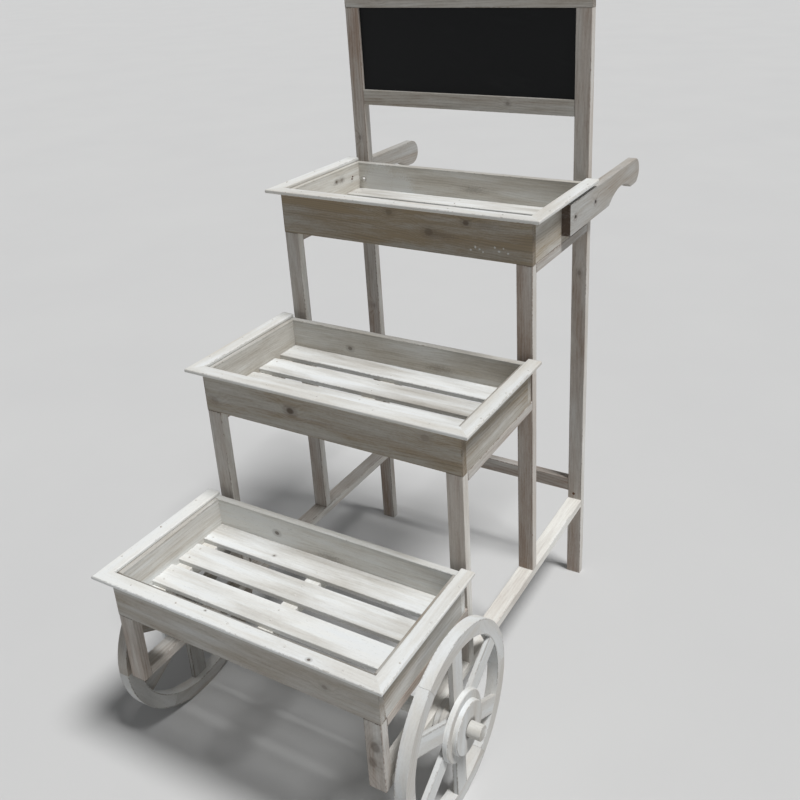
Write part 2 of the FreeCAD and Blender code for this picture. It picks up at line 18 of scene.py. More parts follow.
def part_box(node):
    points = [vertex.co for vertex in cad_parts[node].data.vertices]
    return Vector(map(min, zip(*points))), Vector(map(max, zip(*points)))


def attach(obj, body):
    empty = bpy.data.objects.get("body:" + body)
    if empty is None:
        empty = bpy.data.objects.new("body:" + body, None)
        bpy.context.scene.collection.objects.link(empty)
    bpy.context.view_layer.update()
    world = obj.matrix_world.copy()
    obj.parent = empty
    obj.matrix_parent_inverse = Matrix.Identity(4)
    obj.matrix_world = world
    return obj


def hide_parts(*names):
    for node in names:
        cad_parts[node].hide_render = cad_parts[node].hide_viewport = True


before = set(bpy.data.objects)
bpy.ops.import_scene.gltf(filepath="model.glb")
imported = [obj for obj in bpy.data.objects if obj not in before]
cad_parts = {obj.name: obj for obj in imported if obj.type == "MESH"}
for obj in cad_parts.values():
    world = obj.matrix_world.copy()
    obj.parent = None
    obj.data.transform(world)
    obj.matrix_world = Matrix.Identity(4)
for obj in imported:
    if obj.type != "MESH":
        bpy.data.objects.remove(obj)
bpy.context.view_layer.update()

Triple = tuple[float, float, float]
Layer = tuple[Triple, float]

TRAYS = ("lower", "middle", "upper")
SIDES = {"left": -1, "right": 1}
log = logging.getLogger("flower_cart_stand")

# How far apart in the noise two seeds, their luck, and two pieces of one node lie.
SEED_APART = 1.37
LUCK_APART = 7.0
PIECE_APART = 3.1

# How nearly a face's normal must point in a direction to count as looking that way.
SQUARE_ON = 0.9


# ---------------------------------------------------------------- shader arithmetic


class Wire:
    """A number that flows through a graph, on which the arithmetic signs work."""

    def __init__(self, graph: "Graph", socket: bpy.types.NodeSocket) -> None:
        """Wrap a socket.

        Args:
            graph: The graph that the socket belongs to.
            socket: The output that carries the number.
        """
        self.graph = graph
        self.socket = socket

    def math(self, operation: str, *others: "Wire | float", clamp: bool = False) -> "Wire":
        """Put the number through one Math node.

        Args:
            operation: The Math node's operation.
            *others: The operation's further values.
            clamp: Whether the result is held between 0 and 1.

        Returns:
            The result.
        """
        values = dict(enumerate((self, *others)))
        made = self.graph.node("ShaderNodeMath", {"operation": operation, "use_clamp": clamp}, values)
        return Wire(self.graph, made.outputs[0])

    def __add__(self, other: "Wire | float") -> "Wire":
        """The sum."""
        return self.math("ADD", other)

    __radd__ = __add__

    def __sub__(self, other: "Wire | float") -> "Wire":
        """The difference."""
        return self.math("SUBTRACT", other)

    def __rsub__(self, other: float) -> "Wire":
        """The difference from a plain number."""
        return (self * -1.0) + other

    def __mul__(self, other: "Wire | float") -> "Wire":
        """The product."""
        return self.math("MULTIPLY", other)

    __rmul__ = __mul__

    def __truediv__(self, other: "Wire | float") -> "Wire":
        """The quotient."""
        return self.math("DIVIDE", other)

    def least(self, other: "Wire | float") -> "Wire":
        """The smaller of two."""
        return self.math("MINIMUM", other)

    def most(self, other: "Wire | float") -> "Wire":
        """The larger of two."""
        return self.math("MAXIMUM", other)

    def whole(self) -> "Wire":
        """The whole number below."""
        return self.math("FLOOR")

    def size(self) -> "Wire":
        """The number without its sign."""
        return self.math("ABSOLUTE")

    def rise(self, low: float, high: float) -> "Wire":
        """Go smoothly from 0 at low to 1 at high.

        Args:
            low: Where the rise starts.
            high: Where it ends.

        Returns:
            The share of the rise.
        """
        sockets = {"Value": self, "From Min": low, "From Max": high}
        made = self.graph.node("ShaderNodeMapRange", {"interpolation_type": "SMOOTHSTEP"}, sockets)
        return Wire(self.graph, made.outputs[0])


class Graph:
    """The nodes of a material or of the world."""

    def __init__(self, tree: bpy.types.NodeTree) -> None:
        """Work on a node tree."""
        self.tree = tree

    def node(self, kind: str, settings: dict | None = None, sockets: dict | None = None) -> bpy.types.Node:
        """Add a node.

        Args:
            kind: The node's type.
            settings: Its properties, set first.
            sockets: A value, a Wire or an output for each input, by the input's name or number.

        Returns:
            The node.
        """
        made = self.tree.nodes.new(kind)
        for word, value in (settings or {}).items():
            setattr(made, word, value)
        for word, value in (sockets or {}).items():
            self.feed(made.inputs[word], value)
        return made

    def feed(self, entry: bpy.types.NodeSocket, value: object) -> None:
        """Link to an input, or set the input's own value.

        Args:
            entry: The input.
            value: A Wire, an output, a number, or a colour's three numbers.
        """
        source = value.socket if isinstance(value, Wire) else value
        if isinstance(source, bpy.types.NodeSocket):
            self.tree.links.new(source, entry)
        else:
            entry.default_value = (*source, 1.0) if entry.type == "RGBA" else source


Luck = tuple[Wire, Wire, Wire]


class Recipe(Graph):
    """One material's nodes."""

    def __init__(self, name: str) -> None:
        """Start a material with a bare shader.

        Args:
            name: The material's name.
        """
        self.material = bpy.data.materials.new(name)
        self.material.use_nodes = True
        super().__init__(self.material.node_tree)
        self.shader = self.tree.nodes["Principled BSDF"]
        self.place = self.node("ShaderNodeTexCoord").outputs["Object"]
        axes = self.node("ShaderNodeSeparateXYZ", None, {0: self.place})
        self.x, self.y, self.z = (Wire(self, socket) for socket in axes.outputs)

    def on_right(self) -> Wire:
        """1 on the stand's right half and 0 on its left half."""
        return (self.x + 1.0).whole()

    def point(self, x: Wire | float, y: Wire | float, z: Wire | float) -> bpy.types.NodeSocket:
        """Join three numbers into a place."""
        return self.node("ShaderNodeCombineXYZ", None, {0: x, 1: y, 2: z}).outputs[0]

    def noise(self, place: bpy.types.NodeSocket, scale: Triple | float, detail: float = 2.0) -> Wire:
        """Soft random values about 0.5.

        Args:
            place: Where to read them.
            scale: How many spots there are to a metre, in each direction or in all of them.
            detail: How many finer layers are added.

        Returns:
            The values.
        """
        scales = scale if isinstance(scale, tuple) else (scale, scale, scale)
        spread = self.node("ShaderNodeVectorMath", {"operation": "MULTIPLY"}, {0: place, 1: scales})
        sockets = {"Vector": spread.outputs[0], "Scale": 1.0, "Detail": detail, "Roughness": 0.58}
        return Wire(self, self.node("ShaderNodeTexNoise", None, sockets).outputs[0])

    def length(self, x: Wire | float, y: Wire | float, z: Wire | float = 0.0) -> Wire:
        """The distance of a place from the origin."""
        made = self.node("ShaderNodeVectorMath", {"operation": "LENGTH"}, {0: self.point(x, y, z)})
        return Wire(self, made.outputs["Value"])

    def chance(self, number: Wire | float, seed: float) -> Luck:
        """Draw three steady random values from 0 to 1.

        Args:
            number: A whole number, which gets values of its own.
            seed: A number that makes the draw its own.

        Returns:
            The values.
        """
        made = self.node("ShaderNodeTexWhiteNoise", {"noise_dimensions": "1D"}, {"W": number + seed})
        parts = self.node("ShaderNodeSeparateColor", None, {0: made.outputs["Color"]})
        return tuple(Wire(self, socket) for socket in parts.outputs[:3])

    def mix(self, share: Wire, first: object, second: object) -> bpy.types.NodeSocket:
        """Blend two colours, each given as numbers or an output.

        Args:
            share: How much of the second shows.
            first: The colour at a share of 0.
            second: The colour at a share of 1.

        Returns:
            The blend.
        """
        made = self.node("ShaderNodeMix", {"data_type": "RGBA"}, {0: share, 6: first, 7: second})
        return made.outputs[2]

    def bump(self, height: Wire, depth: float) -> bpy.types.NodeSocket:
        """Let a height between 0 and 1 stand up by a depth in metres."""
        sockets = {"Height": height, "Strength": 1.0, "Distance": depth}
        return self.node("ShaderNodeBump", None, sockets).outputs[0]

    def finish(self, inputs: dict[str, object]) -> bpy.types.Material:
        """Feed the shader and hand over the material.

        Args:
            inputs: What each of the shader's inputs gets, by the input's name.

        Returns:
            The material.
        """
        for name, value in inputs.items():
            self.feed(self.shader.inputs[name], value)
        return self.material


# ---------------------------------------------------------------- how a piece of wood is cut


@dataclass
class Cut:
    """A piece of wood as its material sees it.

    Attributes:
        along: Distance along the fibres.
        across: Distance across the fibres, in the wider direction.
        depth: Distance across the fibres, in the narrower direction.
        edge: Distance to the nearest edge.
        number: Which piece of the node, or of a pair of nodes, it is.
        end: Distance to the nearer sawn end, or None where no end shows.
        lap: Distance to where another piece laps over it, or None where none does.
        tread: Distance to the nearest surface that is drawn whiter, as painted light: a round one, or an
            upright stick's side. None where there is none.
    """

    along: Wire
    across: Wire
    depth: Wire
    edge: Wire
    number: Wire | float
    end: Wire | None = None
    lap: Wire | None = None
    tread: Wire | None = None


def middle_of_three(a: Wire, b: Wire, c: Wire) -> Wire:
    """The second smallest of three distances, which is the nearest edge's on a box."""
    return a.least(b).most(a.most(b).least(c))


def is_paired(node: str) -> bool:
    """Whether the node's finish is shared with its mirror image on the left."""
    return "_right" in node


class Fibre(Enum):
    """The direction of a straight stick's fibres."""

    ACROSS = "x"
    FORWARD = "y"
    UPRIGHT = "z"


@dataclass(frozen=True)
class Repeat:
    """Equal sticks side by side in one node.

    Attributes:
        axis: The direction in which they are repeated.
        start: Where the first one starts.
        pitch: From one to the next; negative counts downwards.
        wide: The width of one.
        slack: The share of a pitch by which a face may lie before its stick's start.
    """

    axis: str
    start: float
    pitch: float
    wide: float
    slack: float = 0.1


@dataclass(frozen=True)
class StraightStick:
    """How boards, battens, strips and dowels are cut: fibres along the stick."""

    fibre: Fibre
    repeat: Repeat | None = None

    def cut(self, recipe: Recipe, node: str) -> Cut:
        """Read a node's box and give the distances in it.

        Args:
            recipe: The material that asks.
            node: The CAD node's name, the right one of a pair.

        Returns:
            The cut.
        """
        low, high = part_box(node)
        places = {"x": recipe.x, "y": recipe.y, "z": recipe.z}
        beside = dict(places, x=recipe.x.size()) if is_paired(node) else places
        edges = {
            axis: (beside[axis] - low[n]).least(high[n] - beside[axis]) for n, axis in enumerate("xyz")
        }
        number = recipe.on_right() if is_paired(node) else 0.0
        if self.repeat:
            rule = self.repeat
            counted = (places[rule.axis] - rule.start) / rule.pitch
            number = (counted + rule.slack).whole()
            inside = (counted - number) * abs(rule.pitch)
            edges[rule.axis] = edges[rule.axis].least(inside).least(rule.wide - inside).most(0.0)
        sides = [axis for axis in "xyz" if axis != self.fibre.value]
        sides.sort(key=lambda axis: low["xyz".index(axis)] - high["xyz".index(axis)])
        across, depth = (places[axis] for axis in sides)
        along, end = places[self.fibre.value], edges[self.fibre.value]
        # Painted light: an upright stick's sides, facing left and right, are drawn whiter.
        side = edges["x"] if self.fibre is Fibre.UPRIGHT else None
        edge = middle_of_three(*edges.values())
        return Cut(along, across, depth, edge, number, end, high.z - recipe.z, side)


@dataclass(frozen=True)
class WheelCut:
    """Shared by the wheels' pieces: distances from the wheel's centre.

    Attributes:
        sectors: How many felloes and spokes there are.
        apart: How far the left wheel's numbers are from the right one's.
    """

    sectors: int = 6
    apart: float = 7.0

    def turn(self, recipe: Recipe, node: str) -> tuple[Wire, Wire, Wire, Wire, Wire]:
        """Split a wheel into sectors.

        Args:
            recipe: The material that asks.
            node: Any node of the right wheel.

        Returns:
            The sector's number, the distances along and across its middle line, the distance
            from the wheel's centre, and the distance to the node's nearer flat face.
        """
        low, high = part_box(node)
        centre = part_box(node.rsplit("_", 1)[0] + "_hub")
        y = recipe.y - (centre[0].y + centre[1].y) / 2
        z = recipe.z - (centre[0].z + centre[1].z) / 2
        step = 2 * math.pi / self.sectors
        angle = z.math("ARCTAN2", y)
        number = (angle / step).whole()
        off = angle - (number + 0.5) * step
        radius = recipe.length(y, z)
        out, side = radius * off.math("COSINE"), radius * off.math("SINE")
        x = recipe.x.size()
        return number + recipe.x.whole() * self.apart, out, side, radius, (x - low.x).least(high.x - x)


@dataclass(frozen=True)
class FelloeCut(WheelCut):
    """How the rim's pieces are cut: fibres across the sector, as a sawn felloe's are."""

    wide: float = 0.0295

    def cut(self, recipe: Recipe, node: str) -> Cut:
        """Read the distances in a felloe.

        Args:
            recipe: The material that asks.
            node: The CAD node's name.

        Returns:
            The cut.
        """
        low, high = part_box(node)
        outer = (high.z - low.z) / 2
        number, out, side, radius, face = self.turn(recipe, node)
        rim = (radius - (outer - self.wide)).size().least((outer - radius).size())
        # Painted light: the felloes' round faces are drawn whiter.
        return Cut(side, out, recipe.x, rim.most(face), number, tread=rim)


@dataclass(frozen=True)
class SpokeCut(WheelCut):
    """How spokes are cut: fibres from the hub to the rim."""

    wide: float = 0.036

    def cut(self, recipe: Recipe, node: str) -> Cut:
        """Read the distances in a spoke.

        Args:
            recipe: The material that asks.
            node: The CAD node's name.

        Returns:
            The cut.
        """
        number, out, side, _, face = self.turn(recipe, node)
        return Cut(out, side, recipe.x, (self.wide / 2 - side.size()).most(face), number)


@dataclass(frozen=True)
class HubCut(WheelCut):
    """How the hub's two discs are cut: each from its own board, then turned round.

    The disc, the cap on it and the bore are given by their radii.
    """

    apart: float = 2.0
    disc: float = 0.0685
    cap: float = 0.052
    cap_thick: float = 0.0105
    bore: float = 0.0165
    fibre_turn: float = 0.25
    cap_turn: float = 1.1

    def cut(self, recipe: Recipe, node: str) -> Cut:
        """Read the distances in a hub.

        Args:
            recipe: The material that asks.
            node: The CAD node's name.

        Returns:
            The cut.
        """
        low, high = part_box(node)
        height = recipe.x.size() - (high.x - self.cap_thick)
        number = height.rise(-0.0005, 0.0005).math("ROUND")
        y = recipe.y - (low.y + high.y) / 2
        z = recipe.z - (low.z + high.z) / 2
        radius = recipe.length(y, z)
        disc, cap = (radius - self.disc).size(), (radius - self.cap).size()
        edge = disc.most(height.size()).least(cap.most((height - self.cap_thick).size()))
        turn = number * self.cap_turn + self.fibre_turn
        cosine, sine = turn.math("COSINE"), turn.math("SINE")
        along, across = y * cosine + z * sine, z * cosine - y * sine
        number = number + recipe.x.whole() * self.apart
        # Painted light: the round sides of the disc and the cap are drawn whiter; the distance from the
        # bore carries the darkening round it.
        return Cut(along, across, recipe.x, edge, number, None, radius - self.bore, disc.least(cap))


@dataclass(frozen=True)
class HandleCut:
    """How a push handle is cut: fibres along it, and its top edges worn."""

    def cut(self, recipe: Recipe, node: str) -> Cut:
        """Read the distances in a handle.

        Args:
            recipe: The material that asks.
            node: The CAD node's name.

        Returns:
            The cut.
        """
        low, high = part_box(node)
        x = recipe.x.size()
        edge = (high.z - recipe.z).most((x - low.x).least(high.x - x))
        return Cut(recipe.y, recipe.z, recipe.x, edge, recipe.on_right(), recipe.y - low.y)


Shape = StraightStick | FelloeCut | SpokeCut | HubCut | HandleCut


# ---------------------------------------------------------------- finishes


@dataclass(frozen=True)
class Knot:
    """A knot, a stain, a splash, or a spot of painted shade on a stick.

    Attributes:
        along: Its place along the fibres.
        across: Its place across the fibres.
        radius: Its radius.
        strength: How plainly it shows, from 0 to 1.
    """

    along: float
    across: float
    radius: float
    strength: float = 1.0


Knots = tuple[Knot, ...]


@dataclass(frozen=True)
class Limewash:
    """Softwood under a thin white wash that was rubbed back and has weathered.

    Attributes:
        cover: How white the wash has left the wood, from 0 to 1.
        cool: How blue the wash is, from 0 to 1.
        grain: How plainly the wood's grain shows.
        mottle: How patchy the wash is.
        left: How much whiter the left one of a pair is drawn, as painted light; negative draws it darker,
            as painted shade.
        tread: How much whiter the round surfaces and upright sticks' sides are drawn, as painted light.
        ends: How bare the sawn ends are.
        lap: How dark it is drawn where another piece laps over it: painted shade along boards' tops under
            the rims, painted shade and dirt round the hub's bore.
        ring: Distance from one year's ring to the next.
        knots: The knots that show; on the handles, the painted shade in the screws' wells.
        splashes: Spots of spilt paint.
        stains: Brown spots, drawn out along the fibres.
        early_wood: The pale part of a year's ring.
        late_wood: The dark part of a year's ring.
        grey_wood: Weathered wood.
        bare_wood: Sawn ends, the middles of knots, and the painted shade in the handles' screw wells.
        warm_wash: Wash that has yellowed.
        cool_wash: Fresh wash.
        grime: The dirt in the wash.
        lap_shade: The colour of that darkening.
        streaks: The long streaks of the grain: spots to a metre along and across the fibres,
            and finer layers. The next four are given in the same way.
        fibres: The single fibres.
        patches: The patches where the wash was rubbed off.
        specks: The finest specks.
        clouds: The slow change from one end of a stick to the other.
        bends: How the year rings wander.
        worn: From where to where the chipped edges fade into the face.
        relief: How deep the grain is.
    """

    cover: float = 0.62
    cool: float = 0.3
    grain: float = 1.0
    mottle: float = 1.0
    left: float = 0.0
    tread: float = 0.0
    ends: float = 0.75
    lap: float = 0.0
    ring: float = 0.0058
    knots: Knots = ()
    splashes: Knots = ()
    stains: Knots = ()
    early_wood: Triple = (0.285, 0.243, 0.197)
    late_wood: Triple = (0.165, 0.135, 0.108)
    grey_wood: Triple = (0.240, 0.229, 0.207)
    bare_wood: Triple = (0.090, 0.066, 0.050)
    warm_wash: Triple = (0.800, 0.790, 0.745)
    cool_wash: Triple = (0.750, 0.770, 0.775)
    grime: Triple = (0.215, 0.200, 0.175)
    lap_shade: Triple = (0.088, 0.080, 0.068)
    streaks: Layer = ((7.0, 95.0, 95.0), 3.0)
    fibres: Layer = ((34.0, 620.0, 620.0), 2.0)
    patches: Layer = ((3.8, 26.0, 26.0), 4.0)
    specks: Layer = ((150.0, 330.0, 330.0), 2.0)
    clouds: Layer = ((1.5, 9.0, 9.0), 1.0)
    bends: Layer = ((2.4, 11.0, 11.0), 1.0)
    worn: tuple[float, float] = (0.0004, 0.0034)
    relief: float = 0.0007

    def dress(self, node: str, shape: Shape, seed: int) -> bpy.types.Material:
        """Make the finish for one node or pair of nodes.

        Args:
            node: The CAD node's name.
            shape: How the node's wood is cut.
            seed: A number that makes its grain its own.

        Returns:
            The material.
        """
        recipe = Recipe(f"limewash_{node}")
        cut = shape.cut(recipe, node)
        shift = seed * SEED_APART
        luck = recipe.chance(cut.number, seed * LUCK_APART)
        place = recipe.point(cut.along + (cut.number * PIECE_APART + shift), cut.across, cut.depth)
        late, knot = self.rings(recipe, cut, place, luck, shift)
        layers = (self.streaks, self.fibres, self.patches, self.specks, self.clouds)
        streak, fibre, patch, speck, cloud = (recipe.noise(place, *layer) for layer in layers)

        dark = late * 0.60 + (streak - 0.5) * 0.8 + (cloud - 0.5) * 0.8
        wood = recipe.mix(dark, self.early_wood, self.late_wood)
        wood = recipe.mix((patch * 0.5 + cloud * 0.5).rise(0.40, 0.60) * 0.8, wood, self.grey_wood)
        share = (
            (patch - 0.5) * (1.10 * self.mottle)
            + (cloud - 0.5) * (0.60 * self.mottle)
            + (streak - 0.5) * (0.55 * self.grain)
            + (fibre - 0.5) * (0.42 * self.grain)
            + (speck - 0.5) * 0.26
            - late * (0.09 * self.grain)
            + (luck[0] - 0.5) * 0.10
            + (self.cover + 0.04 * self.grain)
        )
        # Painted light: round faces and upright sticks' sides drawn whiter.
        if cut.tread is not None:
            share = share + (1.0 - cut.tread.rise(0.0003, 0.0010)) * self.tread
        # Painted light and shade: the left one of a pair drawn whiter, or darker where this is negative.
        if self.left:
            share = share + (1.0 - recipe.on_right()) * self.left
        chipped = (speck * 0.35 + patch * 0.65).rise(0.51, 0.59) * (1.0 - cut.edge.rise(*self.worn))
        share = (share - chipped * 0.52).math("MAXIMUM", 0.0, clamp=True)
        coolness = (patch - 0.5) * 2.0 + (streak - 0.5) * 1.2 + self.cool
        paint = recipe.mix(coolness.math("ADD", 0.0, clamp=True), self.warm_wash, self.cool_wash)
        colour = recipe.mix(share * 0.97, wood, paint)
        colour = recipe.mix((speck * 0.6 + fibre * 0.4).rise(0.56, 0.74) * 0.30, colour, self.grime)
        for shown, tint in self.marks(recipe, cut, share, patch, knot):
            colour = recipe.mix(shown, colour, tint)

        height = fibre * (0.42 * self.grain) + streak * (0.34 * self.grain) + share * 0.2 + speck * 0.12
        return recipe.finish({
            "Base Color": colour,
            "Roughness": 0.88 - share * 0.10 + (speck - 0.5) * 0.16,
            "Specular IOR Level": 0.30,
            "Normal": recipe.bump(height, self.relief),
        })

    def marks(
        self, recipe: Recipe, cut: Cut, share: Wire, patch: Wire, knot: Wire | None
    ) -> list[tuple[Wire, Triple]]:
        """What lies over the wash: knots, sawn ends, painted shade where pieces lap, stains and splashes.

        Args:
            recipe: The material that asks.
            cut: The stick's distances.
            share: How much the wash covers.
            patch: The patches' noise.
            knot: How much knot shows, if there is any.

        Returns:
            How much of each mark shows, and its colour, the lowest first.
        """
        found = []
        if knot is not None:
            found.append((knot, self.bare_wood))
        if cut.end is not None:
            sawn = (1.0 - cut.end.rise(0.0002, 0.0007)) * ((1.0 - share) * self.ends)
            found.append((sawn, self.bare_wood))
        # Painted shade along the tops of boards under the rims; round the hub's bore, painted shade and
        # dirt.
        if self.lap:
            reach = cut.lap + (patch - 0.5) * 0.012
            found.append(((1.0 - reach.rise(0.0005, 0.0075)) * self.lap, self.lap_shade))
        if self.stains:
            found.append((self.spots(recipe, cut, self.stains, 4.0, 0.0), self.late_wood))
        if self.splashes:
            found.append((self.spots(recipe, cut, self.splashes), self.cool_wash))
        return found

    def spots(
        self, recipe: Recipe, cut: Cut, places: Knots, stretch: float = 1.0, core: float = 0.55
    ) -> Wire:
        """Ragged spots at given places.

        Args:
            recipe: The material that asks.
            cut: The stick's distances.
            places: The spots.
            stretch: How many times as long as wide they are.
            core: The share of the radius where they start to fade.

        Returns:
            How much spot shows.
        """
        ragged = recipe.noise(recipe.place, 300.0, 1.0)
        found: Wire | None = None
        for spot in places:
            along = (cut.along - spot.along) / stretch
            away = recipe.length(along, cut.across - spot.across) / spot.radius
            here = (1.0 - (away + (ragged - 0.5) * 1.1).rise(core, 1.05)) * spot.strength
            found = here if found is None else found.most(here)
        return found

    def rings(
        self, recipe: Recipe, cut: Cut, place: bpy.types.NodeSocket, luck: Luck, shift: float
    ) -> tuple[Wire, Wire | None]:
        """The year rings of the log that the stick was sawn from, and its knots.

        Args:
            recipe: The material that asks.
            cut: The stick's distances.
            place: The stick's own place for noise.
            luck: Three random values for the stick.
            shift: A number that makes the node's grain its own.

        Returns:
            How much latewood shows, and how much knot if there is any.
        """
        side = cut.across - (luck[0] - 0.5) * 0.09 - cut.along * ((luck[2] - 0.5) * 0.09)
        heart = recipe.length(side, cut.depth - luck[1] * 0.06 - 0.035)
        heart = heart + recipe.noise(place, *self.bends) * 0.034
        knot: Wire | None = None
        for spot in self.knots:
            away = recipe.length((cut.along - spot.along) / 1.3, cut.across - spot.across) / spot.radius
            heart = heart + (1.0 - away.rise(0.5, 4.2)) * (spot.radius * 1.5)
            core = (1.0 - away.rise(0.45, 1.15)) * spot.strength
            halo = (away.rise(0.8, 1.15) * (1.0 - away.rise(1.15, 2.0))) * (spot.strength * 0.30)
            knot = core + halo if knot is None else knot.most(core + halo)
        years = heart / self.ring
        year = years.whole()
        share = years - year
        strong = recipe.chance(year, shift)[0]
        return share.rise(0.25, 0.90) * (1.0 - share.rise(0.90, 1.0)) * (strong * 0.7 + 0.3), knot


@dataclass(frozen=True)
class BlackboardPaint:
    """Matt near-black board paint, rolled on, with traces of wiped chalk."""

    paint: Triple = (0.0058, 0.0061, 0.0066)
    chalk: Triple = (0.026, 0.027, 0.028)
    sweeps: Layer = ((5.0, 1.0, 26.0), 4.0)
    slant: float = 0.27

    def dress(self, name: str) -> bpy.types.Material:
        """Make the finish.

        Args:
            name: The material's name.

        Returns:
            The material.
        """
        recipe = Recipe(name)
        slanted = recipe.point(recipe.x, recipe.y, recipe.z + recipe.x * self.slant)
        sweep = recipe.noise(slanted, *self.sweeps)
        cloud = recipe.noise(recipe.place, (4.0, 1.0, 6.0))
        grain = recipe.noise(recipe.place, 1400.0, 1.0)
        roller = recipe.noise(recipe.place, 240.0)
        dust = sweep.rise(0.48, 0.80) * cloud.rise(0.40, 0.72) * (grain * 0.7 + 0.45)
        return recipe.finish({
            "Base Color": recipe.mix(dust * 0.75, self.paint, self.chalk),
            "Roughness": 0.66 + dust * 0.25 + (roller - 0.5) * 0.12,
            "Specular IOR Level": 0.16,
            "Normal": recipe.bump(roller * 0.6 + grain * 0.4, 0.00025),
        })


@dataclass(frozen=True)
class DullSteel:
    """Zinc-plated steel that has gone grey, with rust in the corners."""

    bright: Triple = (0.36, 0.355, 0.345)
    rust: Triple = (0.105, 0.052, 0.026)
    rusted: float = 0.35

    def dress(self, name: str) -> bpy.types.Material:
        """Make the finish.

        Args:
            name: The material's name.

        Returns:
            The material.
        """
        recipe = Recipe(name)
        cloud = recipe.noise(recipe.place, 320.0, 4.0)
        pit = recipe.noise(recipe.place, 2400.0)
        red = (cloud + (pit - 0.5) * 0.3 + (self.rusted - 0.5)).rise(0.42, 0.62)
        return recipe.finish({
            "Base Color": recipe.mix(red, self.bright, self.rust),
            "Metallic": 1.0 - red * 0.9,
            "Roughness": 0.38 + red * 0.45 + (pit - 0.5) * 0.2,
            "Normal": recipe.bump(cloud * 0.5 + pit * 0.5, 0.0001),
        })


@dataclass(frozen=True)
class PaintedNail:
    """A nail's head under the wash, where a little rust has bled through."""

    wash: Triple = (0.64, 0.63, 0.60)
    rust: Triple = (0.23, 0.165, 0.115)

    def dress(self, name: str) -> bpy.types.Material:
        """Make the finish.

        Args:
            name: The material's name.

        Returns:
            The material.
        """
        recipe = Recipe(name)
        cloud = recipe.noise(recipe.place, 260.0, 3.0)
        spot = recipe.noise(recipe.place, 17.0, 1.0)
        bare = (cloud * 0.5 + spot * 0.7).rise(0.64, 0.80)
        return recipe.finish({
            "Base Color": recipe.mix(bare * 0.8, self.wash, self.rust),
            "Roughness": 0.80 - bare * 0.12,
            "Normal": recipe.bump(cloud, 0.0003),
        })


def give(piece: bpy.types.Object, material: bpy.types.Material) -> None:
    """Put one material in every slot of a piece.

    Args:
        piece: The piece.
        material: The material.
    """
    if not piece.material_slots:
        piece.data.materials.append(material)
    for slot in piece.material_slots:
        slot.material = material


def dress_node(finish: Limewash, node: str, shape: Shape, seed: int) -> None:
    """Dress a CAD node, and its mirror image on the left if it has one, in one finish.

    Args:
        finish: The finish.
        node: The node's name, the right one of a pair.
        shape: How the node's wood is cut.
        seed: A number that makes its grain its own.
    """
    material = finish.dress(node, shape, seed)
    give(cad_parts[node], material)
    if is_paired(node):
        give(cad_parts[node.replace("_right", "_left")], material)
    log.info("%s dressed", node)


# ---------------------------------------------------------------- small modelled pieces


def start_primitive(add: Callable[..., set[str]], **sizes: object) -> bpy.types.Object:
    """Deselect everything, add a primitive and enter edit mode with nothing selected.

    Args:
        add: The operator that adds the primitive.
        **sizes: The operator's values.

    Returns:
        The new object.
    """
    bpy.ops.object.select_all(action="DESELECT")
    add(**sizes)
    bpy.ops.object.mode_set(mode="EDIT")
    bpy.ops.mesh.select_mode(type="FACE")
    bpy.ops.mesh.select_all(action="DESELECT")
    return bpy.context.object


def start_button(radius: float, low: float, high: float, sides: int) -> bpy.types.Object:
    """Start a round piece about Z, whose mesh is centred on its own origin.

    Args:
        radius: Its radius.
        low: Where its lower face is while it is modelled.
        high: Where its upper face is.
        sides: How many sides it has.

    Returns:
        The new object, in edit mode.
    """
    return start_primitive(
        bpy.ops.mesh.primitive_cylinder_add,
        vertices=sides, radius=radius, depth=high - low,
        location=(0, 0, (low + high) / 2), end_fill_type="NGON",
    )


def pick_faces(piece: bpy.types.Object, way: Vector, nearer: float = math.inf) -> None:
    """Select the faces that look one way, and only those.

    Args:
        piece: The object in edit mode.
        way: The direction, one metre long.
        nearer: How far out that way a face's centre may be.
    """
    bpy.ops.object.mode_set(mode="OBJECT")
    for face in piece.data.polygons:
        face.select = face.normal.dot(way) > SQUARE_ON and face.center.dot(way) < nearer
    for edge in piece.data.edges:
        edge.select = False
    bpy.ops.object.mode_set(mode="EDIT")
    bpy.ops.mesh.select_mode(type="FACE")


def extrude(by: Vector) -> None:
    """Extrude the selected faces by a distance in each direction."""
    bpy.ops.mesh.extrude_region_move(TRANSFORM_OT_translate={"value": tuple(by)})


def leave_edit(piece: bpy.types.Object, name: str, angle: float = 35.0) -> bpy.types.Object:
    """Close the mesh's normals, smooth its round faces and name it.

    Args:
        piece: The object in edit mode.
        name: Its name.
        angle: The sharpest edge that is smoothed, in degrees.

    Returns:
        The object.
    """
    bpy.ops.mesh.select_all(action="SELECT")
    bpy.ops.mesh.normals_make_consistent(inside=False)
    bpy.ops.object.mode_set(mode="OBJECT")
    bpy.ops.object.shade_smooth_by_angle(angle=math.radians(angle))
    piece.name = piece.data.name = name
    return piece


def scatter(model: bpy.types.Object, places: list[Matrix], name: str) -> bpy.types.Object:
    """Copy a model to places, join the copies and put the result's origin at the frame's.

    Args:
        model: The one that was modelled, which is used up.
        places: Where each copy's own origin goes.
        name: The joined piece's name.

    Returns:
        The joined piece.
    """
    copies = []
    for place in places:
        copy = model.copy()
        copy.data = model.data.copy()
        copy.matrix_world = place
        bpy.context.scene.collection.objects.link(copy)
        copies.append(copy)
    bpy.data.objects.remove(model)
    bpy.context.view_layer.update()
    bpy.ops.object.select_all(action="DESELECT")
    for copy in copies:
        copy.select_set(True)
    bpy.context.view_layer.objects.active = copies[0]
    bpy.ops.object.join()
    bpy.ops.object.transform_apply(location=True, rotation=True, scale=True)
    piece = bpy.context.object
    piece.name = piece.data.name = name
    return piece


